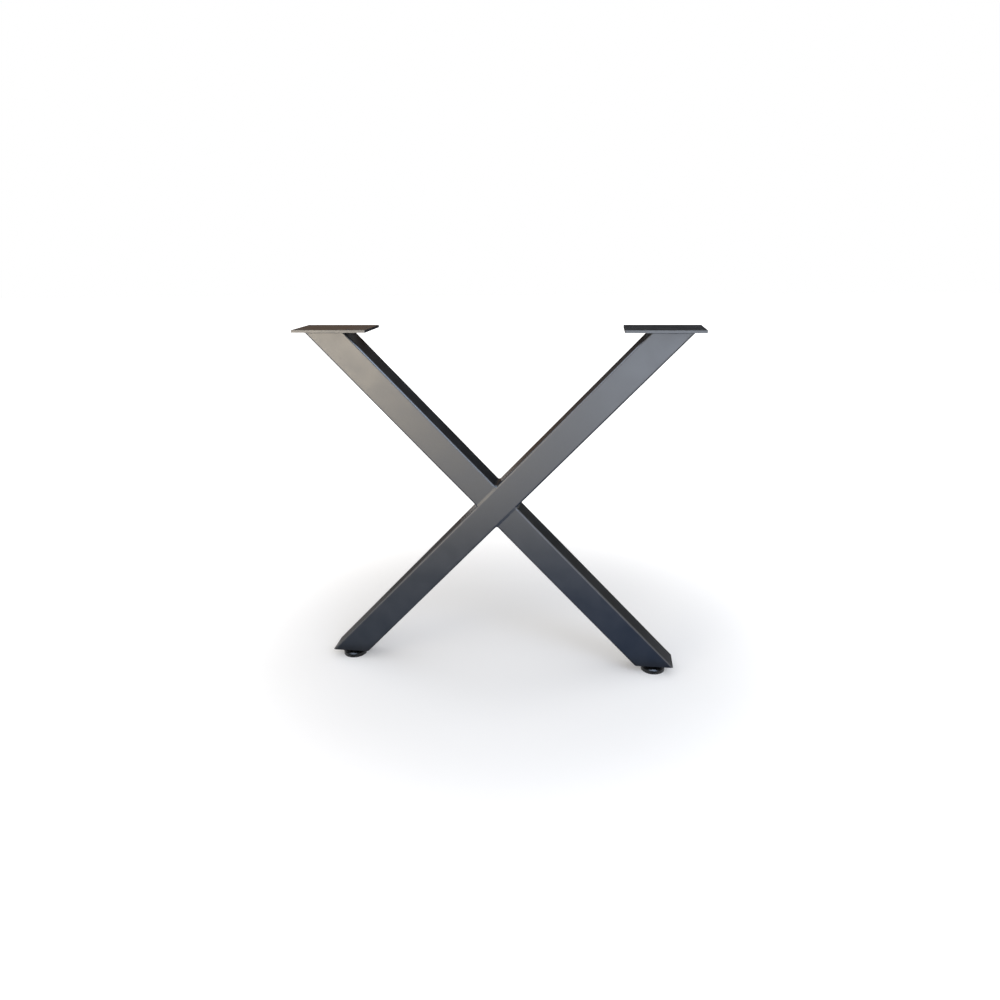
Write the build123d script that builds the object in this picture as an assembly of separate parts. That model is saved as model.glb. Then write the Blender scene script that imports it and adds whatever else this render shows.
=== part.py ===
from build123d import *
import os
from math import asin, atan2, cos, hypot, radians, sin, tan

# Cross-shaped steel table frame: one through diagonal, two half diagonals butted and welded against
# its sides, a screw plate on each upper end and a levelling foot under each lower end.
# Origin on the floor, midway between the feet. +X along the frame, +Z up. Millimetres.

# Square hollow section of both diagonals
TUBE = 60.0
TUBE_WALL = 2.0
TUBE_INNER_CORNER = 2.0

# Outline of the cross, over the tips of the level-cut tube ends
SPAN = 763.0
RISE = 715.0

# Top plates
PLATE_LENGTH = 150.0
PLATE_DEPTH = 100.0
PLATE_THICKNESS = 5.0
PLATE_OVERHANG = 17.0

# Screw holes of a top plate: four in a rectangle, one on the centre line near the inner end
SCREW_HOLE = 7.0
SCREW_SPACING_X = 102.0
SCREW_SPACING_Y = 76.0
SCREW_OUTER_MARGIN = 10.5
INNER_SCREW_MARGIN = 14.0

# Welds: rounded bead in the inside corners of the crossing, groove bead sunk below the flush faces,
# and a fillet bead round each upper tube end
CORNER_BEAD_RADIUS = 6.0
GROOVE_BEAD_SINK = 1.0
PLATE_BEAD_LEG = 3.0
PLATE_BEAD_TOE = 0.4

# Foot end plates, set into the lower tube mouths, and the weld nuts on them
END_PLATE_THICKNESS = 3.0
NUT_FLATS = 17.0
NUT_HEIGHT = 8.0
NUT_CHAMFER = 1.0

# Levelling foot stud
STUD = 10.0
STUD_LENGTH = 34.0
HEAD_FLATS = 17.0
HEAD_HEIGHT = 6.4
HEAD_RECESS = 2.5

# Moulded foot pad
PAD_DIAMETER = 52.0
PAD_HEIGHT = 11.0
PAD_BEVEL = 3.0
PAD_SKIN = 3.0
PAD_RIM = 3.5
RIB_COUNT = 6
RIB_THICKNESS = 2.0
BOSS_FLATS = 24.0
BOSS_HEIGHT = 5.0
BOSS_CHAMFER = 1.0
FOOT_GAP = 5.0

# Clearances
THREAD_CLEARANCE = 0.05
PAD_BORE_CLEARANCE = 0.05
END_PLATE_HOLE_CLEARANCE = 0.5
CUT_MARGIN = 50.0

# Levels and places that follow
HALF_SPAN = SPAN / 2
TUBE_CORNER = TUBE_INNER_CORNER + TUBE_WALL
LEAN = atan2(RISE, SPAN) + asin(TUBE / hypot(SPAN, RISE))
END_CUT = TUBE / sin(LEAN)
FOOT_Z = PAD_HEIGHT + BOSS_HEIGHT + FOOT_GAP
PLATE_Z = FOOT_Z + RISE
CROSS_Z = FOOT_Z + RISE / 2
END_X = HALF_SPAN - END_CUT / 2
PLATE_OUTER_X = HALF_SPAN + PLATE_OVERHANG
BAR_REACH = hypot(SPAN, RISE) / 2 + TUBE
CROSS_AXIS = Axis((0, 0, CROSS_Z), (0, 1, 0))
SEAT = (Align.CENTER, Align.CENTER, Align.MIN)

# Directions along and square to the through diagonal, which rises to the right
ALONG = Vector(cos(LEAN), 0, sin(LEAN))
UP_LEFT = Vector(-sin(LEAN), 0, cos(LEAN))
# The same for the half diagonal, which rises to the left
ALONG_LEFT = Vector(-cos(LEAN), 0, sin(LEAN))
UP_RIGHT = Vector(sin(LEAN), 0, cos(LEAN))


def bar(along, width, corner):
    """Solid square bar through the middle of the cross, longer than the tube."""
    across = Plane(origin=(0, 0, CROSS_Z), x_dir=(0, 1, 0), z_dir=along)
    return extrude(across * RectangleRounded(width, width, corner), BAR_REACH, both=True)


def level_slab(low, high):
    """Wide slab between two heights, used to make the level end cuts."""
    reach = 2 * (SPAN + PLATE_LENGTH)
    return Pos(0, 0, low) * Box(reach, 2 * PLATE_DEPTH, high - low, align=SEAT)


def outer_bar(along):
    """Diagonal filled to its outside faces, cut level at both ends."""
    return bar(along, TUBE, TUBE_CORNER) & level_slab(FOOT_Z, PLATE_Z)


def inner_bar(along):
    """The space inside a diagonal, run past its ends."""
    return bar(along, TUBE - 2 * TUBE_WALL, TUBE_INNER_CORNER)


def through_slot():
    """The strip that the through diagonal takes out of the other one."""
    strip = Plane(origin=(0, 0, CROSS_Z), x_dir=ALONG, z_dir=UP_LEFT)
    return strip * Box(2 * BAR_REACH, TUBE + CUT_MARGIN, TUBE)


def upper_half(bar_solid):
    """The part of a left-rising diagonal above the through diagonal."""
    return (bar_solid - through_slot()).solids().sort_by(Axis.Z)[-1]


def make_through_tube():
    """Tube of the diagonal that runs through, open at both ends."""
    return outer_bar(ALONG) - inner_bar(ALONG)


def make_upper_arm():
    """Upper half tube of the other diagonal, butted against the through tube."""
    return upper_half(outer_bar(ALONG_LEFT) - inner_bar(ALONG_LEFT))


def corner_bead(corner, run_a, face_a, run_b, face_b):
    """Rounded bead in an inside corner of the crossing, along the depth of the tubes.

    The section runs from the corner along both faces to where its arc leaves them, and on into both
    tubes by a corner radius, so that it also fills the corner where the tube edges are rounded.
    """
    half_angle = radians(run_a.get_angle(run_b)) / 2
    leg = CORNER_BEAD_RADIUS / tan(half_angle)
    throat = CORNER_BEAD_RADIUS / sin(half_angle) - CORNER_BEAD_RADIUS
    toe_a = corner + run_a * leg
    toe_b = corner + run_b * leg
    middle = corner + (run_a + run_b).normalized() * throat
    root = corner - (face_a + face_b) * (TUBE_CORNER / (1 + face_a.dot(face_b)))
    outline = Wire(
        [
            Edge.make_three_point_arc(toe_a, middle, toe_b),
            Edge.make_line(toe_b, toe_b - face_b * TUBE_CORNER),
            Edge.make_line(toe_b - face_b * TUBE_CORNER, root),
            Edge.make_line(root, toe_a - face_a * TUBE_CORNER),
            Edge.make_line(toe_a - face_a * TUBE_CORNER, toe_a),
        ]
    )
    return extrude(Face(outline), TUBE / 2 - GROOVE_BEAD_SINK, dir=(0, 1, 0), both=True)


def groove_bead():
    """Bead in the groove beside the through tube's rounded edges, over the width of the half tube."""
    low = -TUBE / (2 * tan(LEAN))
    high = TUBE * tan(LEAN) / 2
    joint = Plane(origin=(0, 0, CROSS_Z), x_dir=ALONG, z_dir=UP_LEFT)
    bead = Box(high - low, TUBE - 2 * GROOVE_BEAD_SINK, TUBE_CORNER)
    return joint * Pos((low + high) / 2, 0, TUBE / 2 - TUBE_CORNER / 2) * bead


def make_upper_joint_weld():
    """Closed ring of weld round the upper butt joint."""
    top = Vector(0, 0, CROSS_Z + TUBE / (2 * cos(LEAN)))
    left = Vector(-TUBE / (2 * sin(LEAN)), 0, CROSS_Z)
    ring = corner_bead(top, ALONG, UP_LEFT, ALONG_LEFT, UP_RIGHT)
    ring += corner_bead(left, ALONG * -1, UP_LEFT, ALONG_LEFT, UP_RIGHT * -1)
    ring += groove_bead()
    return ring - outer_bar(ALONG) - upper_half(outer_bar(ALONG_LEFT))


def cut_outline(margin):
    """Outline of a level-cut tube end, grown outwards by a margin."""
    return RectangleRounded(END_CUT + 2 * margin, TUBE + 2 * margin, TUBE_CORNER + margin)


def make_right_plate_weld():
    """Fillet bead round the through tube's upper end, under its plate."""
    toe_x = END_X - PLATE_BEAD_LEG / tan(LEAN)
    toe = Pos(toe_x, 0, PLATE_Z - PLATE_BEAD_LEG) * cut_outline(PLATE_BEAD_TOE)
    root = Pos(END_X, 0, PLATE_Z) * cut_outline(PLATE_BEAD_LEG)
    return loft([toe, root], ruled=True) - outer_bar(ALONG)


def screw_hole(x, y):
    """Drilled hole through a top plate."""
    return Pos(x, y, PLATE_Z) * Cylinder(SCREW_HOLE / 2, PLATE_THICKNESS, align=SEAT)


def make_right_top_plate():
    """Flat screw plate, set inwards so that it stands a little past the tube's outer tip."""
    blank = Box(PLATE_LENGTH, PLATE_DEPTH, PLATE_THICKNESS, align=SEAT)
    plate = Pos(PLATE_OUTER_X - PLATE_LENGTH / 2, 0, PLATE_Z) * blank
    pattern_x = PLATE_OUTER_X - SCREW_OUTER_MARGIN - SCREW_SPACING_X / 2
    for place in GridLocations(SCREW_SPACING_X, SCREW_SPACING_Y, 2, 2):
        plate -= screw_hole(pattern_x + place.position.X, place.position.Y)
    return plate - screw_hole(PLATE_OUTER_X - PLATE_LENGTH + INNER_SCREW_MARGIN, 0)


def make_left_end_plate():
    """Plate that closes the through tube's lower mouth, flush with the cut, with a hole for the stud."""
    plate = inner_bar(ALONG) & level_slab(FOOT_Z, FOOT_Z + END_PLATE_THICKNESS)
    hole = Cylinder(STUD / 2 + END_PLATE_HOLE_CLEARANCE, END_PLATE_THICKNESS, align=SEAT)
    return plate - Pos(-END_X, 0, FOOT_Z) * hole


def hexagon(flats):
    """Hexagon by its width across flats."""
    return RegularPolygon(flats / 2, 6, major_radius=False)


def make_weld_nut():
    """Hexagon weld nut, standing on an end plate above the origin."""
    nut = extrude(hexagon(NUT_FLATS), NUT_HEIGHT)
    nut = chamfer(nut.faces().sort_by(Axis.Z)[-1].edges(), NUT_CHAMFER)
    nut -= Cylinder(STUD / 2 + THREAD_CLEARANCE, NUT_HEIGHT, align=SEAT)
    return Pos(0, 0, FOOT_Z + END_PLATE_THICKNESS) * nut


def make_foot_stud():
    """Hexagon-headed stud, head down in the pad, above the origin."""
    head = extrude(hexagon(HEAD_FLATS), HEAD_HEIGHT)
    shank = Pos(0, 0, HEAD_HEIGHT) * Cylinder(STUD / 2, STUD_LENGTH, align=SEAT)
    return Pos(0, 0, HEAD_RECESS) * (head + shank)


def pad_blank():
    """Round pad with a bevelled upper edge and a hexagon boss for a spanner."""
    disc = Cylinder(PAD_DIAMETER / 2, PAD_HEIGHT, align=SEAT)
    disc = chamfer(disc.edges().sort_by(Axis.Z)[-1], PAD_BEVEL)
    boss = extrude(hexagon(BOSS_FLATS), BOSS_HEIGHT)
    boss = chamfer(boss.faces().sort_by(Axis.Z)[-1].edges(), BOSS_CHAMFER)
    return disc + Pos(0, 0, PAD_HEIGHT) * boss


def make_foot_pad():
    """Moulded pad, cored out from below between rim, ribs and the boss's hexagon, above the origin."""
    depth = PAD_HEIGHT - PAD_SKIN
    core = Cylinder(PAD_DIAMETER / 2 - PAD_RIM, depth, align=SEAT)
    core -= extrude(hexagon(BOSS_FLATS), depth)
    for turn in PolarLocations(0, RIB_COUNT):
        rib = Box(PAD_DIAMETER / 2, RIB_THICKNESS, depth, align=(Align.MIN, Align.CENTER, Align.MIN))
        core -= turn * rib
    pocket = extrude(hexagon(HEAD_FLATS), HEAD_RECESS + HEAD_HEIGHT)
    bore = Cylinder(STUD / 2 + PAD_BORE_CLEARANCE, PAD_HEIGHT + BOSS_HEIGHT, align=SEAT)
    return pad_blank() - core - pocket - bore


def export_node(name, shape):
    """Writes one piece, a single solid, under its node's name."""
    solid = shape.solid()
    solid.label = name
    export_step(solid, f"parts/{name}.step")


def main():
    os.makedirs("parts", exist_ok=True)
    upper_arm = make_upper_arm()
    upper_joint_weld = make_upper_joint_weld()
    export_node("through_tube", make_through_tube())
    export_node("upper_arm_tube", upper_arm)
    export_node("lower_leg_tube", upper_arm.rotate(CROSS_AXIS, 180))
    export_node("upper_joint_weld", upper_joint_weld)
    export_node("lower_joint_weld", upper_joint_weld.rotate(CROSS_AXIS, 180))

    mirrored = {
        "top_plate": make_right_top_plate(),
        "plate_weld": make_right_plate_weld(),
    }
    for name, right in mirrored.items():
        export_node(f"right_{name}", right)
        export_node(f"left_{name}", mirror(right, about=Plane.YZ))
    left_end_plate = make_left_end_plate()
    export_node("left_end_plate", left_end_plate)
    export_node("right_end_plate", mirror(left_end_plate, about=Plane.YZ))

    foot_pieces = {
        "weld_nut": make_weld_nut(),
        "foot_stud": make_foot_stud(),
        "foot_pad": make_foot_pad(),
    }
    for name, piece in foot_pieces.items():
        export_node(f"left_{name}", Pos(-END_X, 0, 0) * piece)
        export_node(f"right_{name}", Pos(END_X, 0, 0) * piece)


main()
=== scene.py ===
import logging
from contextlib import contextmanager
from dataclasses import dataclass
from enum import Enum
from math import asin, atan2, cos, hypot, pi, radians, sin, tan
from typing import Any, Callable, Iterator

import bmesh
import bpy
from bmesh.types import BMEdge, BMVert
from bpy.types import Material, Node, NodeSocket, NodeTree, Object
from mathutils import Euler, Matrix, Vector, noise


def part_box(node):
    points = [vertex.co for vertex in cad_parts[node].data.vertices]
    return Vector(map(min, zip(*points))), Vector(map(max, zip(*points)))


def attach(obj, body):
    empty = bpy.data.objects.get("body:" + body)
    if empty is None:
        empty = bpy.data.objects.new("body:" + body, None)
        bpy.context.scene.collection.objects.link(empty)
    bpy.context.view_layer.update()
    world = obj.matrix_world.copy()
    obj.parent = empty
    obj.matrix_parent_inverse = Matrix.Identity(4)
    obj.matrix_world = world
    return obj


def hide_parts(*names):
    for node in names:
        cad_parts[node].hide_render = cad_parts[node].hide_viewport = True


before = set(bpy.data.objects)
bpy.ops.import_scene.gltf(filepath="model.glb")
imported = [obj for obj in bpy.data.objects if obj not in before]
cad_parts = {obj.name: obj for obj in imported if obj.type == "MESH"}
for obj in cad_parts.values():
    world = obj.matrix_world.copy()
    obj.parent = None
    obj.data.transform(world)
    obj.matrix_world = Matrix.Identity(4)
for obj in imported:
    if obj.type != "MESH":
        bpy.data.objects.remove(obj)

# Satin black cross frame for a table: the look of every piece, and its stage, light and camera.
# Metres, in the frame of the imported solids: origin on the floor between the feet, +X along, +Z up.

LOG = logging.getLogger("cross_frame")
MM = 0.001

# Places nearer than SAME are one place, points nearer than MERGED become one,
# and directions whose cosine is over ALIGNED are one direction.
SAME = 0.001 * MM
MERGED = 0.002 * MM
ALIGNED = 0.99

UP = Vector((0.0, 0.0, 1.0))
BACK = Vector((0.0, 1.0, 0.0))


class Side(Enum):
    """The two ends of the frame, by the sign of X."""

    LEFT = -1
    RIGHT = 1

    @property
    def label(self) -> str:
        """The side's word in the names of nodes and bodies."""
        return self.name.lower()


class Slot(Enum):
    """The record's material slots."""

    COATED_STEEL = "coated_steel"
    COATED_WELD = "coated_weld"
    ZINC_STEEL = "zinc_steel"
    FOOT_PLASTIC = "foot_plastic"


class Item(Enum):
    """What is selected in edit mode, with its list in a mesh."""

    VERT = "verts"
    EDGE = "edges"
    FACE = "faces"


class Combine(Enum):
    """How one solid is combined with another."""

    CUT = "DIFFERENCE"
    FUSE = "UNION"


def linear(hex_code: str) -> tuple[float, float, float, float]:
    """Turns an sRGB hex colour into linear values.

    Args:
        hex_code: Six hex digits, such as "1a1b1d".

    Returns:
        Linear red, green, blue and an alpha of 1.
    """
    channels = [int(hex_code[i:i + 2], 16) / 255 for i in (0, 2, 4)]
    lit = [c / 12.92 if c <= 0.04045 else ((c + 0.055) / 1.055) ** 2.4 for c in channels]
    return lit[0], lit[1], lit[2], 1.0


def add_node(
    tree: NodeTree,
    kind: str,
    values: dict[str, Any] | None = None,
    links: dict[str, NodeSocket] | None = None,
    **settings: Any,
) -> Node:
    """Adds one shader node.

    Args:
        tree: The node tree that gets the node.
        kind: Blender's type name of the node.
        values: Input socket names and their values.
        links: Input socket names and the outputs that feed them.
        **settings: Attributes of the node itself.

    Returns:
        The new node.
    """
    node = tree.nodes.new(kind)
    for name, value in settings.items():
        setattr(node, name, value)
    for name, value in (values or {}).items():
        node.inputs[name].default_value = value
    for name, source in (links or {}).items():
        tree.links.new(source, node.inputs[name])
    return node


def start_material(name: str) -> tuple[Material, NodeTree, Node]:
    """Makes a material that holds a surface shader and its output only.

    Args:
        name: The material's name.

    Returns:
        The material, its node tree and its Principled shader.
    """
    material = bpy.data.materials.new(name)
    material.use_nodes = True
    tree = material.node_tree
    return material, tree, tree.nodes["Principled BSDF"]


def shown_background(tree: NodeTree) -> NodeSocket:
    """Adds the test for rays that show the background: camera, glossy and transmission rays.

    Args:
        tree: The node tree that gets the nodes.

    Returns:
        A socket that is 1 on such rays and 0 on the rest.
    """
    path = add_node(tree, "ShaderNodeLightPath").outputs
    seen = add_node(tree, "ShaderNodeMath", operation="MAXIMUM")
    tree.links.new(path["Is Camera Ray"], seen.inputs[0])
    tree.links.new(path["Is Glossy Ray"], seen.inputs[1])
    either = add_node(tree, "ShaderNodeMath", operation="MAXIMUM")
    tree.links.new(seen.outputs[0], either.inputs[0])
    tree.links.new(path["Is Transmission Ray"], either.inputs[1])
    return either.outputs[0]


@dataclass(frozen=True)
class Clouds:
    """Soft patches in a finish, in which its tint and its gloss drift together."""

    width_mm: float
    detail: float
    tints: tuple[str, str]
    roughness: tuple[float, float]
    roughness_span: tuple[float, float] = (0.3, 0.7)
    tint_span: tuple[float, float] = (0.0, 1.0)

    def add(self, tree: NodeTree, shader: Node, place: NodeSocket) -> None:
        """Adds the patches to a material.

        Args:
            tree: Its node tree.
            shader: Its Principled shader.
            place: The socket that gives the place on the piece.
        """
        size = {"Scale": 1 / (self.width_mm * MM), "Detail": self.detail}
        patches = add_node(tree, "ShaderNodeTexNoise", size, {"Vector": place}).outputs["Fac"]
        tint = add_node(tree, "ShaderNodeValToRGB", links={"Fac": patches})
        for stop, colour, position in zip(tint.color_ramp.elements, self.tints, self.tint_span):
            stop.position = position
            stop.color = linear(colour)
        ends = ("From Min", "From Max", "To Min", "To Max")
        span = dict(zip(ends, self.roughness_span + self.roughness))
        gloss = add_node(tree, "ShaderNodeMapRange", span, {"Value": patches})
        tree.links.new(tint.outputs["Color"], shader.inputs["Base Color"])
        tree.links.new(gloss.outputs["Result"], shader.inputs["Roughness"])


@dataclass(frozen=True)
class Relief:
    """A soft unevenness of a surface."""

    width_mm: float
    height_mm: float

    def add(self, tree: NodeTree, place: NodeSocket, under: NodeSocket | None = None) -> NodeSocket:
        """Adds the unevenness to a material.

        Args:
            tree: Its node tree.
            place: The socket that gives the place on the piece.
            under: The normal of the relief that it lies on.

        Returns:
            The normal of the uneven surface.
        """
        size = {"Scale": 1 / (self.width_mm * MM), "Detail": 1.0}
        form = add_node(tree, "ShaderNodeTexNoise", size, {"Vector": place})
        links = {"Height": form.outputs["Fac"]}
        if under is not None:
            links["Normal"] = under
        return add_node(tree, "ShaderNodeBump", {"Distance": self.height_mm * MM}, links).outputs["Normal"]


@dataclass(frozen=True)
class SatinPowderCoat:
    """Black polyester powder, sprayed dry and baked on: a half-gloss skin with a soft orange peel."""

    # The real peel is 2 to 3 mm wide, finer than a pixel here, so it is drawn about twice as wide.
    name: str = "satin_black_powder_coat"
    film: Clouds = Clouds(
        width_mm=38.0,
        detail=3.0,
        tints=("0d0f12", "14161a"),
        roughness=(0.33, 0.37),
        roughness_span=(0.35, 0.65),
        tint_span=(0.35, 0.65),
    )
    flow: Relief = Relief(width_mm=70.0, height_mm=0.014)
    peel: Relief = Relief(width_mm=5.0, height_mm=0.012)
    shine: float = 1.0

    def material(self) -> Material:
        """Makes the coat: film thickness clouds the gloss, orange peel and flow bend the reflections.

        Returns:
            The material.
        """
        # A deep black that shows itself by what it mirrors: soft-edged light that fades along the tubes,
        # a thin bright line on each rounded edge, and a surface that is never quite even.
        material, tree, shader = start_material(self.name)
        place = add_node(tree, "ShaderNodeTexCoord").outputs["Object"]
        self.film.add(tree, shader, place)
        skin = self.peel.add(tree, place, self.flow.add(tree, place))
        shader.inputs["Specular IOR Level"].default_value = self.shine
        tree.links.new(skin, shader.inputs["Normal"])
        return material


@dataclass(frozen=True)
class MouldedPolyamide:
    """Black glass-filled polyamide from a polished mould: a wet-looking skin, dulled in patches."""

    name: str = "black_moulded_polyamide"
    patches: Clouds = Clouds(width_mm=7.0, detail=2.0, tints=("0b0c0e", "131518"), roughness=(0.2, 0.3))
    grain: Relief = Relief(width_mm=0.8, height_mm=0.004)
    shine: float = 0.4

    def material(self) -> Material:
        """Makes the plastic: patchy gloss over a faint moulded grain.

        Returns:
            The material.
        """
        # A black darker than the coat, with small sharp glints on rims and edges.
        material, tree, shader = start_material(self.name)
        place = add_node(tree, "ShaderNodeTexCoord").outputs["Object"]
        self.patches.add(tree, shader, place)
        shader.inputs["Specular IOR Level"].default_value = self.shine
        tree.links.new(self.grain.add(tree, place), shader.inputs["Normal"])
        return material


@dataclass(frozen=True)
class BrightZincPlate:
    """Steel with blue-passivated zinc from a barrel bath: pale metal with faint cloudy patches."""

    name: str = "zinc_plated_steel"
    patches: Clouds = Clouds(width_mm=3.0, detail=3.0, tints=("b9c0c8", "cbcac4"), roughness=(0.26, 0.4))

    def material(self) -> Material:
        """Makes the plating: metal whose tint and gloss drift together.

        Returns:
            The material.
        """
        # Cool bright metal beside the black, in clouds of a faint blue and a faint yellow.
        material, tree, shader = start_material(self.name)
        place = add_node(tree, "ShaderNodeTexCoord").outputs["Object"]
        self.patches.add(tree, shader, place)
        shader.inputs["Metallic"].default_value = 1.0
        return material


@dataclass(frozen=True)
class PaleFloorPaint:
    """White matt floor paint: it takes the shadow and runs out into the white of the surround."""

    name: str = "white_floor_paint"
    colour: str = "e7e7e7"
    roughness: float = 0.8
    near: float = 0.3
    far: float = 1.2
    lift_near: float = 0.16
    lift_far: float = 0.85

    def material(self) -> Material:
        """Makes the paint, lifted towards white away from the frame on rays that show the background.

        Returns:
            The material.
        """
        # A pale ground without gloss: the eye sees the frame's soft shadow and nothing else.
        material, tree, shader = start_material(self.name)
        shader.inputs["Base Color"].default_value = linear(self.colour)
        shader.inputs["Roughness"].default_value = self.roughness
        shader.inputs["Specular IOR Level"].default_value = 0.0
        shader.inputs["Emission Color"].default_value = linear("ffffff")
        place = add_node(tree, "ShaderNodeTexCoord").outputs["Object"]
        reach = add_node(tree, "ShaderNodeVectorMath", operation="LENGTH")
        tree.links.new(place, reach.inputs[0])
        lift = add_node(
            tree,
            "ShaderNodeMapRange",
            {
                "From Min": self.near,
                "From Max": self.far,
                "To Min": self.lift_near,
                "To Max": self.lift_far,
            },
            {"Value": reach.outputs["Value"]},
            interpolation_type="SMOOTHSTEP",
        )
        shown = add_node(tree, "ShaderNodeMath", operation="MULTIPLY")
        tree.links.new(lift.outputs["Result"], shown.inputs[0])
        tree.links.new(shown_background(tree), shown.inputs[1])
        tree.links.new(shown.outputs["Value"], shader.inputs["Emission Strength"])
        material.cycles.emission_sampling = "NONE"
        return material


@dataclass(frozen=True)
class FlagCloth:
    """A card with a weak glow of its own, from one colour on the left to another on the right: a painted
    reflection that the coat mirrors.
    """

    name: str
    left: str
    right: str
    glow: float = 1.0

    def material(self, start: float, end: float) -> Material:
        """Makes the glow, which the eye sees only as a painted reflection, a tint in the black coat.

        Args:
            start: X at which the left colour begins to fade.
            end: X at which the right colour is reached.

        Returns:
            The material.
        """
        material, tree, shader = start_material(self.name)
        # Black under lamps: only the emitted colour shows, as a painted reflection in the coat.
        shader.inputs["Base Color"].default_value = linear("000000")
        shader.inputs["Specular IOR Level"].default_value = 0.0
        shader.inputs["Emission Strength"].default_value = self.glow
        place = add_node(tree, "ShaderNodeTexCoord").outputs["Object"]
        across = add_node(tree, "ShaderNodeSeparateXYZ", links={"Vector": place})
        share = add_node(
            tree,
            "ShaderNodeMapRange",
            {"From Min": start, "From Max": end},
            {"Value": across.outputs["X"]},
        )
        fade = add_node(tree, "ShaderNodeValToRGB", links={"Fac": share.outputs["Result"]})
        fade.color_ramp.elements[0].color = linear(self.left)
        fade.color_ramp.elements[1].color = linear(self.right)
        tree.links.new(fade.outputs["Color"], shader.inputs["Emission Color"])
        material.cycles.emission_sampling = "NONE"
        return material


def deselect() -> None:
    """Leaves nothing selected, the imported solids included."""
    bpy.ops.object.select_all(action="DESELECT")


def only(obj: Object) -> None:
    """Selects one object and makes it the active one.

    Args:
        obj: The object.
    """
    deselect()
    obj.select_set(True)
    bpy.context.view_layer.objects.active = obj


def pick_all() -> None:
    """Selects everything, in edit mode."""
    bpy.ops.mesh.select_all(action="SELECT")


def pick(obj: Object, kind: Item, test: Callable[[Any], bool]) -> None:
    """Selects what passes a test and nothing else, in edit mode.

    Args:
        obj: The object in edit mode.
        kind: What is tested: vertices, edges or faces.
        test: Says whether one of them is wanted.
    """
    bpy.ops.mesh.select_all(action="DESELECT")
    mesh = bmesh.from_edit_mesh(obj.data)
    for item in getattr(mesh, kind.value):
        if test(item):
            item.select_set(True)
    bmesh.update_edit_mesh(obj.data)


@contextmanager
def editing(obj: Object, kind: Item, test: Callable[[Any], bool] | None = None) -> Iterator[None]:
    """Opens an object in edit mode, with what passes a test selected, or else everything.

    Args:
        obj: The object to edit.
        kind: What is selected there: vertices, edges or faces.
        test: Says whether one of them is wanted.

    Yields:
        Nothing; the object leaves edit mode afterwards.
    """
    only(obj)
    bpy.ops.object.mode_set(mode="EDIT")
    bpy.ops.mesh.select_mode(type=kind.name)
    if test:
        pick(obj, kind, test)
    else:
        pick_all()
    yield
    bpy.ops.object.mode_set(mode="OBJECT")


def extent(edge: BMEdge, way: Vector) -> float:
    """Length of an edge along a direction."""
    return abs((edge.verts[0].co - edge.verts[1].co).dot(way))


def bevel_edges(
    obj: Object, test: Callable[[BMEdge], bool], width: float, facets: int, profile: float = 0.5
) -> None:
    """Bevels the edges that pass a test.

    Args:
        obj: The object to change.
        test: Says whether an edge is wanted.
        width: The width of the bevel.
        facets: The number of its facets.
        profile: The form of the bevel: 0.5 is round, less is hollow.
    """
    with editing(obj, Item.EDGE, test):
        bpy.ops.mesh.bevel(offset=width, segments=facets, profile=profile, affect="EDGES")


def add_block(name: str, centre: Vector, size: Vector, turn: float = 0.0) -> Object:
    """Adds a block at its size and place, with its place in its mesh.

    Args:
        name: The object's name.
        centre: Its middle.
        size: Its lengths along its own X, Y and Z.
        turn: Its turn about Y, in radians.

    Returns:
        The block.
    """
    deselect()
    bpy.ops.mesh.primitive_cube_add(size=1.0, location=centre, rotation=(0.0, turn, 0.0), scale=size)
    block = bpy.context.object
    block.name = name
    bpy.ops.object.transform_apply(location=True, rotation=True, scale=True)
    return block


def add_drum(name: str, base: Vector, radius: float, height: float, sides: int) -> Object:
    """Adds an upright cylinder or prism on its base, with its place in its mesh.

    Args:
        name: The object's name.
        base: The middle of its lower face.
        radius: Its radius, to the corners of a prism.
        height: Its height.
        sides: The number of its sides.

    Returns:
        The drum.
    """
    deselect()
    centre = base + Vector((0.0, 0.0, height / 2))
    bpy.ops.mesh.primitive_cylinder_add(vertices=sides, radius=radius, depth=height, location=centre)
    drum = bpy.context.object
    drum.name = name
    bpy.ops.object.transform_apply(location=True, rotation=True, scale=True)
    return drum


def apply_modifier(obj: Object, kind: str, **settings: Any) -> None:
    """Adds a modifier and applies it.

    Args:
        obj: The object to change.
        kind: Blender's type name of the modifier.
        **settings: Attributes of the modifier.
    """
    only(obj)
    modifier = obj.modifiers.new(kind.title(), kind)
    for name, value in settings.items():
        setattr(modifier, name, value)
    bpy.ops.object.modifier_apply(modifier=modifier.name)


def combine(obj: Object, how: Combine, *others: Object) -> None:
    """Combines other solids with one, in order, and deletes them.

    Args:
        obj: The solid that changes.
        how: Whether the others are cut out of it or fused to it.
        *others: The other solids.
    """
    for other in others:
        apply_modifier(obj, "BOOLEAN", operation=how.value, solver="EXACT", object=other)
        bpy.data.objects.remove(other)


def shade(obj: Object, above: float, flats: bool = True) -> None:
    """Shades a piece smooth between its sharp edges.

    Args:
        obj: The piece.
        above: The least angle of an edge that stays sharp, in degrees.
        flats: Whether its large faces keep their own normals.
    """
    only(obj)
    bpy.ops.object.shade_smooth_by_angle(angle=radians(above))
    if flats:
        apply_modifier(obj, "WEIGHTED_NORMAL", keep_sharp=True)


def round_edges(obj: Object, width: float, segments: int = 2, above: float = 40.0) -> None:
    """Rounds the sharp edges and shades the piece.

    Args:
        obj: The object to finish.
        width: The width of the rounding.
        segments: The number of its facets.
        above: The least angle of an edge that counts as sharp, in degrees.
    """
    angle = radians(above)
    apply_modifier(obj, "BEVEL", width=width, segments=segments, limit_method="ANGLE", angle_limit=angle)
    shade(obj, above)


def copy_across(piece: Object, name: str, shift: Vector) -> Object:
    """Copies a piece, with a mesh of its own, and moves the copy's mesh.

    Args:
        piece: The piece.
        name: The copy's name.
        shift: How far the copy is moved.

    Returns:
        The copy.
    """
    only(piece)
    bpy.ops.object.duplicate(linked=False)
    copy = bpy.context.object
    copy.name = name
    with editing(copy, Item.VERT):
        bpy.ops.transform.translate(value=shift)
    return copy


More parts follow.
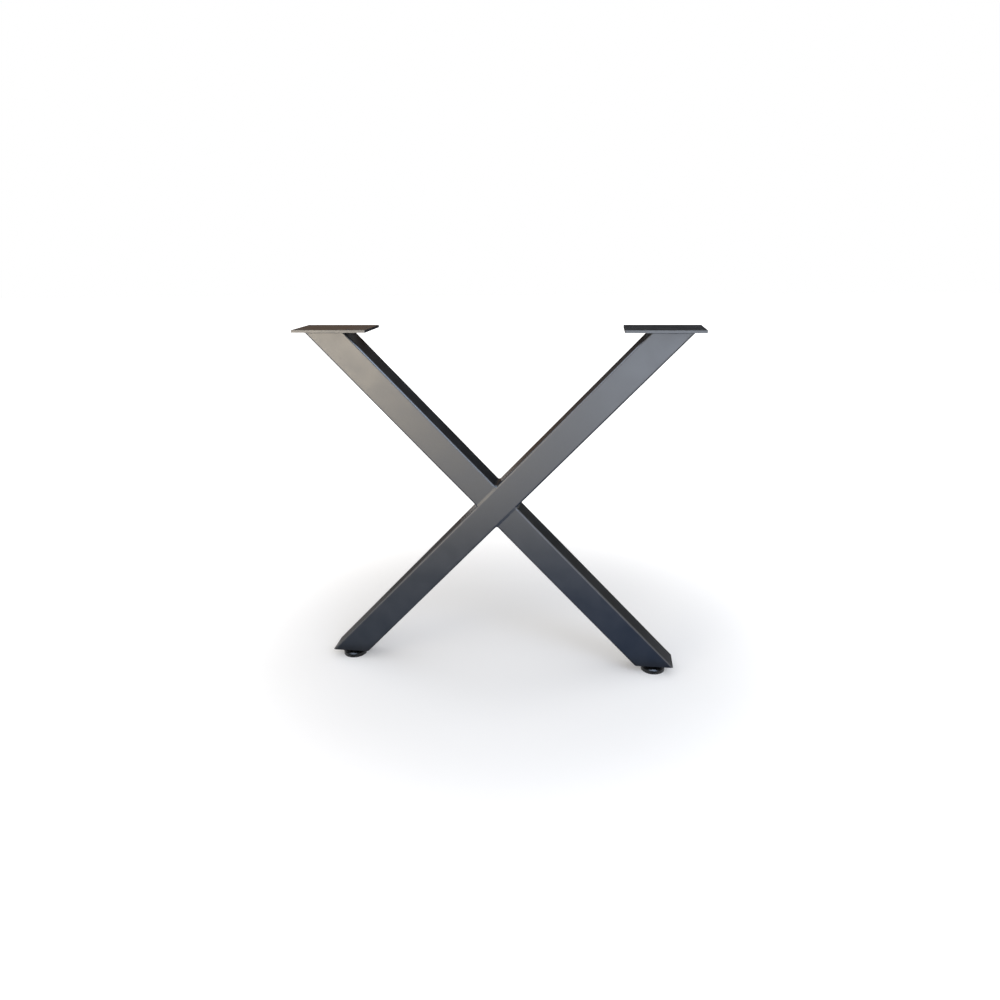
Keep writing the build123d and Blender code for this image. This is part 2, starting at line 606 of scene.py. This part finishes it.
def base_of(node: str) -> Vector:
    """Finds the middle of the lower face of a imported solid's box.

    Args:
        node: The solid's name.

    Returns:
        The point.
    """
    low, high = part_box(node)
    return Vector(((low.x + high.x) / 2, (low.y + high.y) / 2, low.z))


def fit_out(piece: Object, node: str, body: str, material: Material) -> None:
    """Gives a finished piece its material, its body and the solid that it stands for.

    Args:
        piece: The finished piece.
        node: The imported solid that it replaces.
        body: The body that it rides on.
        material: Its material.
    """
    piece.data.materials.clear()
    piece.data.materials.append(material)
    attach(piece, body)
    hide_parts(node)
    LOG.info("%s: %d faces, on %s, for %s", piece.name, len(piece.data.polygons), body, node)


def dress_solid(node: str, material: Material) -> None:
    """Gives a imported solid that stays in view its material.

    Args:
        node: The solid's name.
        material: Its material.
    """
    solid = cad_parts[node]
    solid.data.materials.clear()
    solid.data.materials.append(material)
    LOG.info("%s: packed solid, dressed", node)


@dataclass(frozen=True)
class Cross:
    """Sizes of the crossed diagonals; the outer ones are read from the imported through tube."""

    tube: float
    span: float
    rise: float
    foot_z: float
    wall: float = 2.0 * MM
    corner: float = 4.0 * MM

    @classmethod
    def from_frame(cls) -> "Cross":
        """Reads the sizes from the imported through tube.

        Returns:
            The cross.
        """
        low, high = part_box("through_tube")
        return cls(tube=high.y - low.y, span=high.x - low.x, rise=high.z - low.z, foot_z=low.z)

    @property
    def lean(self) -> float:
        """Angle of the diagonals above the floor."""
        return atan2(self.rise, self.span) + asin(self.tube / hypot(self.span, self.rise))

    @property
    def plate_z(self) -> float:
        """Height of the upper end cuts."""
        return self.foot_z + self.rise

    @property
    def centre(self) -> Vector:
        """Where the diagonals cross."""
        return Vector((0.0, 0.0, self.foot_z + self.rise / 2))

    @property
    def along(self) -> Vector:
        """Direction of the through diagonal, rising to the right."""
        return Vector((cos(self.lean), 0.0, sin(self.lean)))

    @property
    def up_left(self) -> Vector:
        """Direction square to the through diagonal, towards the upper arm."""
        return Vector((-sin(self.lean), 0.0, cos(self.lean)))

    @property
    def joint_low(self) -> float:
        """Place of a joint's lower corner along the through diagonal, from the crossing's middle."""
        return -self.tube / (2 * tan(self.lean))

    @property
    def joint_high(self) -> float:
        """Place of a joint's upper corner along the through diagonal, from the crossing's middle."""
        return self.tube * tan(self.lean) / 2


@dataclass
class Diagonals:
    """The through tube and the two half tubes that are butted against it."""

    cross: Cross
    coat: Material
    corner_facets: int = 8
    end_round: float = 0.4 * MM
    sharp: float = 40.0
    dip: float = 0.86 * MM
    dip_flat: float = 12.0 * MM
    dip_length: float = 140.0 * MM
    dip_steps: int = 10

    def raw_tube(self, name: str, turn: float) -> Object:
        """Makes an overlong square tube with rounded edges and open ends.

        Args:
            name: The piece's name.
            turn: The diagonal's turn about Y, in radians.

        Returns:
            The tube.
        """
        cross = self.cross
        spare = 4 * cross.tube
        length = hypot(cross.span, cross.rise) + spare
        tube = add_block(name, cross.centre, Vector((length, cross.tube, cross.tube)), turn)
        run = Vector((cos(turn), 0.0, -sin(turn)))
        bevel_edges(tube, lambda edge: extent(edge, run) > cross.tube, cross.corner, self.corner_facets)
        with editing(tube, Item.FACE, lambda face: abs(face.normal.dot(run)) > ALIGNED):
            bpy.ops.mesh.delete(type="FACE")
        apply_modifier(
            tube, "SOLIDIFY", thickness=cross.wall, offset=-1.0, use_even_offset=True, use_rim=False
        )
        return tube

    def saw(self, tube: Object, point: Vector, outward: Vector) -> None:
        """Saws a tube off at a plane and closes its wall there.

        Args:
            tube: The tube.
            point: A point of the plane.
            outward: The side that falls away.
        """

        def in_plane(vertex: BMVert) -> bool:
            """Says whether a vertex lies in the plane."""
            return abs((vertex.co - point).dot(outward)) < SAME

        with editing(tube, Item.EDGE):
            bpy.ops.mesh.bisect(plane_co=point, plane_no=outward, clear_outer=True)
            pick(tube, Item.EDGE, lambda edge: edge.is_boundary and all(map(in_plane, edge.verts)))
            bpy.ops.mesh.bridge_edge_loops()

    def dress(self, tube: Object, point: Vector, inward: Vector) -> None:
        """Sets a half tube's front and back a little back at the butt joint, as ground there.

        Args:
            tube: The half tube.
            point: A point of the joint's plane.
            inward: Direction from the joint into the half tube.
        """
        eased = self.dip_length - self.dip_flat
        steps = range(self.dip_steps)
        reaches = [0.0] + [self.dip_flat + eased * step / self.dip_steps for step in steps]
        with editing(tube, Item.VERT):
            for reach in reaches[1:]:
                pick_all()
                bpy.ops.mesh.bisect(plane_co=point + inward * reach, plane_no=inward)
        for reach in reaches:
            share = max(0.0, reach - self.dip_flat) / eased
            depth = self.dip * (1 - share * share * (3 - 2 * share))
            narrow = 1 - 2 * depth / self.cross.tube
            with editing(tube, Item.VERT, lambda vert: abs((vert.co - point).dot(inward) - reach) < SAME):
                bpy.ops.transform.resize(value=(1.0, narrow, 1.0), center_override=self.cross.centre)
        shade(tube, self.sharp)

    def build(self) -> None:
        """Makes the three tubes."""
        cross = self.cross
        top = Vector((0.0, 0.0, cross.plate_z))
        bottom = Vector((0.0, 0.0, cross.foot_z))

        through = self.raw_tube("through_tube_coated", -cross.lean)
        self.saw(through, top, UP)
        self.saw(through, bottom, -UP)
        round_edges(through, self.end_round)
        fit_out(through, "through_tube", "frame", self.coat)

        halves = (
            ("upper_arm", "upper_arm_tube", top, 1),
            ("lower_leg", "lower_leg_tube", bottom, -1),
        )
        for name, node, end, sign in halves:
            inward = cross.up_left * sign
            joint = cross.centre + inward * (cross.tube / 2)
            half = self.raw_tube(f"{name}_coated", cross.lean)
            self.saw(half, end, UP * sign)
            round_edges(half, self.end_round)
            self.saw(half, joint, -inward)
            self.dress(half, joint, inward)
            fit_out(half, node, "frame", self.coat)


@dataclass
class TopPlates:
    """The two drilled screw plates on the upper tube ends."""

    coat: Material
    corner: float = 1.2 * MM
    corner_facets: int = 4
    edge_round: float = 0.5 * MM
    hole: float = 7.0 * MM
    hole_sides: int = 40
    spacing_x: float = 102.0 * MM
    spacing_y: float = 76.0 * MM
    outer_margin: float = 10.5 * MM
    inner_margin: float = 14.0 * MM

    def holes(self, low: Vector, high: Vector, side: Side) -> list[tuple[float, float]]:
        """Works out the places of the screw holes.

        Args:
            low: The plate's lowest corner.
            high: The plate's highest corner.
            side: The end of the frame that the plate is on.

        Returns:
            X and Y of each hole.
        """
        outer, inner = (high.x, low.x) if side is Side.RIGHT else (low.x, high.x)
        first = outer - side.value * self.outer_margin
        rows = (first, first - side.value * self.spacing_x)
        pattern = [(x, y * self.spacing_y / 2) for x in rows for y in (-1, 1)]
        return pattern + [(inner + side.value * self.inner_margin, 0.0)]

    def plate(self, side: Side) -> None:
        """Makes one plate.

        Args:
            side: The end of the frame that it is on.
        """
        node = f"{side.label}_top_plate"
        low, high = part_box(node)
        thick = high.z - low.z
        plate = add_block(f"{node}_coated", (low + high) / 2, high - low)
        bevel_edges(plate, lambda edge: extent(edge, UP) > SAME, self.corner, self.corner_facets)
        for x, y in self.holes(low, high, side):
            below = Vector((x, y, low.z - thick))
            drill = add_drum("drill", below, self.hole / 2, 3 * thick, self.hole_sides)
            combine(plate, Combine.CUT, drill)
        round_edges(plate, self.edge_round)
        fit_out(plate, node, "frame", self.coat)

    def build(self) -> None:
        """Makes both plates."""
        for side in Side:
            self.plate(side)


@dataclass(frozen=True)
class PoolRipples:
    """The ripples and lumps of a solidified weld pool."""

    # The lumps shift the ripples by the stagger, and the level is what the bead's smooth face stands for.
    height: float
    lump_height: float
    stagger: float
    pitch: float = 1.9 * MM
    level: float = 0.6
    lump: float = 9.0 * MM

    def relief(self, point: Vector, turns: float) -> float:
        """Works out the pool's height at a point of a bead.

        Args:
            point: The point, on the smooth bead.
            turns: The number of ripples up to there.

        Returns:
            How far the point stands out.
        """
        wander = noise.noise(point / self.lump)
        wave = abs(sin(pi * turns + self.stagger * wander)) - self.level
        return self.height * wave + self.lump_height * wander


@dataclass(frozen=True)
class InsideCorner:
    """An inside corner at the crossing, with its ways along the through tube and into the half tube."""

    middle: Vector
    run: Vector
    rise: Vector

    @property
    def out(self) -> Vector:
        """The way out of the corner, one step along each tube."""
        return self.run + self.rise


@dataclass
class CrossingWelds:
    """The ring of weld round each butt joint: rippled fillets in the corners, ground ramps on the faces."""

    cross: Cross
    coat: Material
    pool: PoolRipples = PoolRipples(height=0.14 * MM, lump_height=0.22 * MM, stagger=2.0)
    leg: float = 6.6 * MM
    sink: float = 0.4 * MM
    reach: float = 26.8 * MM
    run_out: float = 3.0 * MM
    thinning: float = 0.75
    hollow_share: float = 0.96
    concave: float = 0.1
    fillet_facets: int = 12
    cuts: int = 120
    facing: float = 0.4
    ramp_in: float = 3.8 * MM
    ramp_out: float = 1.8 * MM
    ramp_drop: float = 0.82 * MM
    ramp_depth: float = 5.0 * MM
    ramp_proud: float = 0.04 * MM
    ramp_long: float = 1.4 * MM
    ramp_round: float = 3.6 * MM
    ramp_facets: int = 8
    sharp: float = 35.0

    def fillet(self, corner: InsideCorner) -> Object:
        """Makes the bead in one inside corner: a bar along Y with a hollow, rippled face.

        Args:
            corner: The corner.

        Returns:
            The bead.
        """
        middle = corner.middle + corner.out * (self.leg / 2 - self.sink)
        far = middle + corner.out * (self.leg / 2)
        bar = add_block("fillet", middle, Vector((self.leg, 2 * self.reach, self.leg)), -self.cross.lean)

        def stands_out(edge: BMEdge) -> bool:
            """Says whether an edge is the bar's long one away from the corner."""
            return all(hypot(v.co.x - far.x, v.co.z - far.z) < 10 * SAME for v in edge.verts)

        width = self.leg * self.hollow_share
        bevel_edges(bar, stands_out, width, self.fillet_facets, self.concave)
        with editing(bar, Item.EDGE, lambda edge: extent(edge, BACK) > self.reach):
            bpy.ops.mesh.subdivide(number_cuts=self.cuts)
        self.ripple_face(bar, corner)
        self.thin_ends(bar, corner)
        return bar

    def ripple_face(self, bar: Object, corner: InsideCorner) -> None:
        """Moves the points of a bead's face to the form of the solidified pool.

        Args:
            bar: The bead.
            corner: The corner that it fills.
        """
        outward = corner.out.normalized()
        for vertex in bar.data.vertices:
            if vertex.normal.dot(outward) > self.facing and abs(vertex.co.y) < self.reach - self.run_out:
                bend = (vertex.co - corner.middle).dot(corner.run) / self.leg
                turns = vertex.co.y / self.pool.pitch + bend * (1 - bend)
                vertex.co += outward * self.pool.relief(vertex.co, turns)

    def thin_ends(self, bar: Object, corner: InsideCorner) -> None:
        """Draws the ends of a bead in, where it runs out on the tube's rounded edges.

        Args:
            bar: The bead.
            corner: The corner that it fills.
        """
        for vertex in bar.data.vertices:
            past = max(0.0, abs(vertex.co.y) - self.reach + self.run_out) / self.run_out
            root = Vector((corner.middle.x, vertex.co.y, corner.middle.z))
            for way in (corner.run, corner.rise):
                height = max(0.0, (vertex.co - root).dot(way))
                vertex.co -= way * (height * self.thinning * past * past)

    def ramp(self, joint: Vector, rise: Vector, face: int) -> Object:
        """Makes the ground cap of the groove in front or at the back, down from the through tube.

        Args:
            joint: The middle of the joint's plane.
            rise: Direction from the joint into the half tube.
            face: -1 in front, 1 at the back.

        Returns:
            The cap.
        """
        cross = self.cross
        length = cross.joint_high - cross.joint_low + 2 * self.ramp_long
        middle = joint + rise * ((self.ramp_out - self.ramp_in) / 2)
        middle.y = face * (cross.tube / 2 + self.ramp_proud - self.ramp_depth / 2)
        size = Vector((length, self.ramp_depth, self.ramp_in + self.ramp_out))
        bar = add_block("ramp", middle, size, -cross.lean)

        def shows(vertex: BMVert) -> bool:
            """Says whether a vertex lies on the cap's face."""
            return (vertex.co.y - middle.y) * face > 0

        def shows_low(vertex: BMVert) -> bool:
            """Says whether a vertex lies on the cap's face, beside the half tube."""
            return shows(vertex) and (vertex.co - middle).dot(rise) > 0

        def ends(edge: BMEdge) -> bool:
            """Says whether an edge lies across an end of the cap's face."""
            return extent(edge, cross.along) < SAME and all(map(shows, edge.verts))

        with editing(bar, Item.EDGE, lambda edge: all(map(shows_low, edge.verts))):
            bpy.ops.transform.translate(value=(0.0, -face * self.ramp_drop, 0.0))
        bevel_edges(bar, ends, self.ramp_round, self.ramp_facets)
        return bar

    def ring(self, node: str, sign: int) -> None:
        """Makes the ring of one joint.

        Args:
            node: The solid that it stands for.
            sign: 1 for the upper joint, -1 for the lower.
        """
        cross = self.cross
        rise = cross.up_left * sign
        joint = cross.centre + rise * (cross.tube / 2)
        along = cross.along * sign
        middle = joint + along * ((cross.joint_high + cross.joint_low) / 2)
        ring = self.fillet(InsideCorner(joint + along * cross.joint_high, along, rise))
        low_fillet = self.fillet(InsideCorner(joint + along * cross.joint_low, -along, rise))
        ramps = [self.ramp(middle, rise, face) for face in (-1, 1)]
        combine(ring, Combine.FUSE, low_fillet, *ramps)
        ring.name = f"{node}_dressed"
        shade(ring, self.sharp, flats=False)
        fit_out(ring, node, "frame", self.coat)

    def build(self) -> None:
        """Makes both rings."""
        self.ring("upper_joint_weld", 1)
        self.ring("lower_joint_weld", -1)


@dataclass
class PlateWelds:
    """The ring of weld under each top plate."""

    coat: Material
    pool: PoolRipples = PoolRipples(height=0.16 * MM, lump_height=0.25 * MM, stagger=2.5)
    grain: float = 0.55 * MM
    smoothing: float = 0.5
    smoothing_rounds: int = 4

    def ring(self, node: str) -> None:
        """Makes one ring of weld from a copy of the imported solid.

        Args:
            node: The solid that it stands for.
        """
        ring = bpy.data.objects.new(f"{node}_rippled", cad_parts[node].data.copy())
        bpy.context.scene.collection.objects.link(ring)
        with editing(ring, Item.VERT):
            bpy.ops.mesh.remove_doubles(threshold=MERGED)
        apply_modifier(ring, "REMESH", mode="VOXEL", voxel_size=self.grain)
        apply_modifier(ring, "SMOOTH", factor=self.smoothing, iterations=self.smoothing_rounds)
        for vertex in ring.data.vertices:
            normal = vertex.normal
            run = vertex.co.y if abs(normal.y) < abs(normal.x) else vertex.co.x
            vertex.co += normal * self.pool.relief(vertex.co, run / self.pool.pitch)
        only(ring)
        bpy.ops.object.shade_smooth()
        fit_out(ring, node, "frame", self.coat)

    def build(self) -> None:
        """Makes both rings."""
        for side in Side:
            self.ring(f"{side.label}_plate_weld")


@dataclass
class LevellingFeet:
    """The two levelling feet: moulded pads on threaded studs, with the plates and nuts that take them."""

    coat: Material
    plastic: Material
    zinc: Material
    facets: int = 96
    pad_height: float = 11.0 * MM
    bevel: float = 3.0 * MM
    skin: float = 3.0 * MM
    rim: float = 3.5 * MM
    boss_flats: float = 24.0 * MM
    boss_chamfer: float = 1.0 * MM
    ribs: int = 6
    rib_thickness: float = 2.0 * MM
    edge_round: float = 0.6 * MM
    edge_facets: int = 3
    sharp: float = 30.0
    stud: float = 10.0 * MM
    clearance: float = 0.05 * MM
    bore_sides: int = 48
    pitch: float = 1.5 * MM
    thread_depth: float = 0.92 * MM
    crest_share: float = 0.12
    root_share: float = 0.24
    thread_steps: int = 32
    turns_below: float = 1.5
    spare_turns: int = 3
    thread_sharp: float = 25.0
    head_flats: float = 17.0 * MM
    head_height: float = 6.4 * MM
    head_round: float = 0.4 * MM

    def prism(self, name: str, base: Vector, flats: float, height: float) -> Object:
        """Adds a hexagon prism with two corners on X.

        Args:
            name: The object's name.
            base: The middle of its lower face.
            flats: Its width across flats.
            height: Its height.

        Returns:
            The prism.
        """
        corner_radius = flats / (2 * cos(pi / 6))
        prism = add_drum(name, base, corner_radius, height, 6)
        with editing(prism, Item.VERT):
            bpy.ops.transform.rotate(value=pi / 6, orient_axis="Z", center_override=base)
        return prism

    def bevel_top(self, drum: Object, top_z: float, width: float) -> None:
        """Bevels the edge of a drum's upper face."""
        bevel_edges(drum, lambda edge: all(abs(v.co.z - top_z) < SAME for v in edge.verts), width, 1)

    def core(self, base: Vector, radius: float) -> Object:
        """Makes the space under the pad between rim, ribs and hub.

        Args:
            base: The middle of the pad's lower face.
            radius: The pad's radius.

        Returns:
            The core, to be cut out of the pad.
        """
        depth = self.pad_height - self.skin
        below = Vector((0.0, 0.0, self.skin))
        core = add_drum("core", base - below, radius - self.rim, depth + self.skin, self.facets)
        hub = self.prism("hub", base - 2 * below, self.boss_flats, depth + 3 * self.skin)
        combine(core, Combine.CUT, hub)
        for turn in range(self.ribs // 2):
            rib = add_block("rib", base, Vector((3 * radius, self.rib_thickness, 3 * depth)))
            angle = 2 * pi * turn / self.ribs
            with editing(rib, Item.VERT):
                bpy.ops.transform.rotate(value=angle, orient_axis="Z", center_override=base)
            combine(core, Combine.CUT, rib)
        return core

    def pad(self, side: Side) -> Object:
        """Makes one moulded pad: bevelled disc, hexagon boss, cored underside.

        Args:
            side: The end of the frame that it is on.

        Returns:
            The pad.
        """
        node = f"{side.label}_foot_pad"
        low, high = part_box(node)
        base = base_of(node)
        radius = (high.x - low.x) / 2
        below = Vector((0.0, 0.0, self.skin))
        pad = add_drum(f"{node}_moulded", base, radius, self.pad_height, self.facets)
        self.bevel_top(pad, base.z + self.pad_height, self.bevel)
        boss = self.prism("boss", base + below, self.boss_flats, high.z - base.z - self.skin)
        self.bevel_top(boss, high.z, self.boss_chamfer)
        combine(pad, Combine.FUSE, boss)
        pocket_top = base_of(f"{side.label}_foot_stud").z + self.head_height
        pocket = self.prism("pocket", base - below, self.head_flats, pocket_top - base.z + self.skin)
        bore_radius = self.stud / 2 + self.clearance
        bore = add_drum("bore", base, bore_radius, 2 * (high.z - low.z), self.bore_sides)
        combine(pad, Combine.CUT, self.core(base, radius), pocket, bore)
        round_edges(pad, self.edge_round, self.edge_facets, self.sharp)
        return pad

    def thread(self, base: Vector, seat: float, top: float) -> Object:
        """Makes a cut thread: a profile drawn out from one point and screwed up round the axis.

        Args:
            base: A point of the stud's axis.
            seat: The height at which the thread begins.
            top: The height at which it ends.

        Returns:
            The thread, closed at both ends.
        """
        flank_share = (1 - self.crest_share - self.root_share) / 2
        profile = (
            (0.0, self.crest_share),
            (-self.thread_depth, flank_share),
            (0.0, self.root_share),
            (self.thread_depth, flank_share),
        )
        deselect()
        bpy.ops.mesh.primitive_plane_add(size=self.pitch, location=(self.stud / 2, 0.0, 0.0))
        thread = bpy.context.object
        bpy.ops.object.transform_apply(location=True, rotation=True, scale=True)
        with editing(thread, Item.VERT):
            bpy.ops.mesh.merge(type="CENTER")
            for step_out, share in profile:
                step = (step_out, 0.0, share * self.pitch)
                bpy.ops.mesh.extrude_region_move(TRANSFORM_OT_translate={"value": step})
        apply_modifier(
            thread,
            "SCREW",
            angle=2 * pi,
            steps=self.thread_steps,
            render_steps=self.thread_steps,
            screw_offset=self.pitch,
            iterations=int((top - seat) / self.pitch) + self.spare_turns,
            use_merge_vertices=True,
            merge_threshold=MERGED,
        )
        with editing(thread, Item.EDGE):
            start = seat - self.turns_below * self.pitch
            bpy.ops.transform.translate(value=(base.x, base.y, start))
            bpy.ops.mesh.remove_doubles(threshold=MERGED)
            bpy.ops.mesh.normals_make_consistent(inside=False)
            for height, way in ((seat, -1.0), (top, 1.0)):
                cut = Vector((base.x, base.y, height))
                pick_all()
                bpy.ops.mesh.bisect(plane_co=cut, plane_no=(0.0, 0.0, way), clear_outer=True, use_fill=True)
        shade(thread, self.thread_sharp, flats=False)
        return thread

    def threaded_stud(self, side: Side) -> Object:
        """Makes one headed stud with a cut thread.

        Args:
            side: The end of the frame that it is on.

        Returns:
            The stud.
        """
        node = f"{side.label}_foot_stud"
        base = base_of(node)
        thread = self.thread(base, base.z + self.head_height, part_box(node)[1].z)
        stud = self.prism(f"{node}_threaded", base, self.head_flats, self.head_height)
        round_edges(stud, self.head_round)
        only(stud)
        thread.select_set(True)
        bpy.ops.object.join()
        return stud

    def build(self) -> None:
        """Makes the left foot, copies it to the right and dresses the solids that stay."""
        shift = base_of("right_foot_pad") - base_of("left_foot_pad")
        models = (
            (self.pad(Side.LEFT), "foot_pad", "moulded", Slot.FOOT_PLASTIC, self.plastic),
            (self.threaded_stud(Side.LEFT), "foot_stud", "threaded", Slot.ZINC_STEEL, self.zinc),
        )
        for model, part, made, slot, material in models:
            copy = copy_across(model, f"{Side.RIGHT.label}_{part}_{made}", shift)
            for side, piece in ((Side.LEFT, model), (Side.RIGHT, copy)):
                fit_out(piece, f"{side.label}_{part}", f"{side.label}_foot", material)
        for side in Side:
            dress_solid(f"{side.label}_end_plate", self.coat)
            dress_solid(f"{side.label}_weld_nut", self.zinc)


@dataclass(frozen=True)
class Softbox:
    """A rectangular soft light."""

    name: str
    place: tuple[float, float, float]
    aim: tuple[float, float, float]
    width: float
    height: float
    glow: float
    colour: str
    mirrored_only: bool = False

    def build(self) -> None:
        """Hangs the light: its power follows from the glow of its face."""
        light = bpy.data.lights.new(self.name, "AREA")
        light.shape = "RECTANGLE"
        light.size = self.width
        light.size_y = self.height
        light.energy = self.glow * pi * self.width * self.height
        light.color = linear(self.colour)[:3]
        lamp = bpy.data.objects.new(self.name, light)
        way = Vector(self.aim) - Vector(self.place)
        lamp.location = self.place
        lamp.rotation_euler = way.to_track_quat("-Z", "Y").to_euler()
        lamp.visible_camera = False
        lamp.visible_diffuse = not self.mirrored_only
        bpy.context.scene.collection.objects.link(lamp)


@dataclass(frozen=True)
class Flag:
    """A glowing card that the coat mirrors as a painted reflection, upright or flat on the floor; the
    camera looks past it.
    """

    name: str
    place: tuple[float, float, float]
    width: float
    height: float
    takes_light: bool = False
    flat: bool = False
    fade_from: float = -0.7
    fade_to: float = 0.7

    def build(self, reflection_glow: FlagCloth) -> None:
        """Sets the flag up.

        Args:
            reflection_glow: Its glow, the painted reflection that the coat mirrors.
        """
        deselect()
        tilt = 0.0 if self.flat else pi / 2
        bpy.ops.mesh.primitive_plane_add(size=1.0, location=self.place, rotation=(tilt, 0.0, 0.0))
        flag = bpy.context.object
        flag.name = self.name
        flag.scale = (self.width, self.height, 1.0)
        bpy.ops.object.transform_apply(location=True, rotation=True, scale=True)
        # The card shows nothing but its glow, a painted reflection in the coat.
        flag.data.materials.append(reflection_glow.material(self.fade_from, self.fade_to))
        flag.visible_camera = False
        flag.visible_diffuse = self.takes_light
        flag.visible_shadow = self.takes_light


@dataclass
class Studio:
    """White floor and surround, soft lights, the glowing cards that the coat mirrors as painted
    reflections, and the camera.
    """

    floor_size: float = 24.0
    ambient: float = 0.85
    camera_place: tuple[float, float, float] = (0.20031, -1.48, 0.8981)
    camera_yaw: float = -7.5522
    camera_pitch: float = 18.9835
    camera_roll: float = 0.8071
    focal_share: float = 0.74884
    sensor: float = 36.0

    def lay_floor(self) -> None:
        """Lays the floor."""
        deselect()
        bpy.ops.mesh.primitive_plane_add(size=self.floor_size)
        floor = bpy.context.object
        floor.name = "floor"
        floor.data.materials.append(PaleFloorPaint().material())

    def set_world(self) -> None:
        """Surrounds the set with white that lights it at a plain level."""
        world = bpy.data.worlds.new("white_surround")
        bpy.context.scene.world = world
        world.use_nodes = True
        tree = world.node_tree
        background = tree.nodes["Background"]
        background.inputs["Color"].default_value = linear("ffffff")
        shown = shown_background(tree)
        level = add_node(tree, "ShaderNodeMapRange", {"To Min": self.ambient}, {"Value": shown})
        tree.links.new(level.outputs["Result"], background.inputs["Strength"])

    def hang_lights(self) -> None:
        """Hangs the soft lights: warm on the left, cool on the right."""
        middle = (0.0, 0.0, 0.4)
        edges = (0.0, 0.0, 0.5)
        ground = (0.0, 0.0, 0.0)
        boxes = (
            # Low before the frame: mirrored in the front faces.
            Softbox("warm_high_box", (-1.15, -2.25, 0.44), (-1.15, -1.52, 2.24), 1.0, 1.08, 8.7, "ffefd6"),
            Softbox("warm_low_box", (-0.6, -1.45, 0.11), (-0.6, -0.72, 1.91), 0.9, 0.65, 1.2, "fff1dc"),
            Softbox("cool_high_box", (0.55, -2.25, 0.44), (0.55, -1.52, 2.24), 1.0, 1.08, 4.2, "d8e7ff"),
            Softbox("cool_low_box", (0.2, -1.45, 0.11), (0.2, -0.72, 1.91), 0.7, 0.65, 0.6, "dae8ff"),
            # The light of the set.
            Softbox("left_box", (-1.4, -1.5, 0.95), middle, 0.9, 0.9, 3.0, "fff4e4"),
            Softbox("key_box", (1.25, -1.6, 1.6), middle, 1.2, 1.2, 3.6, "d6e5ff"),
            # Lines along the rounded edges, and the glint on the pads.
            Softbox("edge_box", (1.1, -0.75, 2.15), edges, 1.3, 1.3, 4.6, "b4d2ff", True),
            Softbox("left_edge_box", (-1.35, -0.4, 1.8), edges, 0.9, 0.9, 4.0, "c4dcff", True),
            Softbox("foot_box", (-0.2, -1.05, 1.7), ground, 2.2, 0.4, 7.5, "cfe2ff", True),
        )
        for box in boxes:
            box.build()

    def set_flags(self) -> None:
        """Sets up the glowing cards that the coat mirrors as painted reflections."""
        # Each of these glows is a painted reflection: black under lamps, its colour seen only mirrored in
        # the coat.
        brown = FlagCloth("brown_flag_cloth", "7f6449", "262424")
        grey = FlagCloth("grey_flag_cloth", "5c5652", "4a4a4c")
        blue = FlagCloth("blue_flag_cloth", "c8deff", "90b6f6", 0.52)
        navy = FlagCloth("navy_flag_cloth", "586478", "4a5870", 0.5)
        ash = FlagCloth("ash_flag_cloth", "8a8785", "7e7e84")
        white = FlagCloth("white_flag_cloth", "ffffff", "ffffff", 2.0)
        tall = Flag("tall_flag", (0.0, 1.3, 0.9), 3.2, 1.8, takes_light=True, fade_from=-0.6, fade_to=0.0)
        near = Flag("floor_flag", (0.0, -0.49, 0.002), 2.4, 0.82, flat=True, fade_from=-0.4, fade_to=0.4)
        flags = (
            # Upright behind the frame: mirrored in the narrow sides of the arms and legs as painted dark
            # reflections; the tall one also takes light and casts shade.
            (tall, brown),
            (Flag("left_low_flag", (-0.62, 0.45, 0.15), 1.16, 0.3), grey),
            (Flag("right_low_flag", (0.67, 0.45, 0.15), 1.06, 0.3), grey),
            # On the floor before the frame: mirrored in the lower fronts and the feet.
            (near, blue),
            (Flag("foot_flag", (0.0, -0.055, 0.002), 2.4, 0.05, flat=True), navy),
            # On the floor behind the frame and upright at its far edge: mirrored in the back.
            (Flag("near_back_flag", (0.0, 0.25, 0.002), 2.4, 0.38, flat=True), ash),
            (Flag("far_back_flag", (0.0, 0.88, 0.002), 2.6, 0.74, flat=True), white),
            (Flag("upright_back_flag", (0.0, 1.285, 0.12), 2.6, 0.24), white),
        )
        for flag, reflection_glow in flags:
            flag.build(reflection_glow)

    def set_camera(self) -> None:
        """Sets the camera up at the photograph's viewing angle."""
        data = bpy.data.cameras.new("camera")
        data.sensor_width = self.sensor
        data.lens = self.focal_share * self.sensor
        camera = bpy.data.objects.new("camera", data)
        aim = Euler((radians(90.0 - self.camera_pitch), 0.0, radians(-self.camera_yaw))).to_matrix()
        camera.rotation_euler = (aim @ Matrix.Rotation(radians(-self.camera_roll), 3, "Z")).to_euler()
        camera.location = self.camera_place
        bpy.context.scene.collection.objects.link(camera)
        bpy.context.scene.camera = camera

    def build(self) -> None:
        """Sets the whole stage up."""
        bpy.context.scene.view_settings.view_transform = "Standard"
        self.lay_floor()
        self.set_world()
        self.hang_lights()
        self.set_flags()
        self.set_camera()


def main() -> None:
    """Builds every piece of the frame and its stage."""
    logging.basicConfig(level=logging.INFO, format="%(message)s")
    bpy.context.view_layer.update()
    coat = SatinPowderCoat().material()
    cross = Cross.from_frame()
    Diagonals(cross, coat).build()
    TopPlates(coat).build()
    CrossingWelds(cross, coat).build()
    PlateWelds(coat).build()
    LevellingFeet(coat, MouldedPolyamide().material(), BrightZincPlate().material()).build()
    Studio().build()


if __name__ == "__main__":
    main()
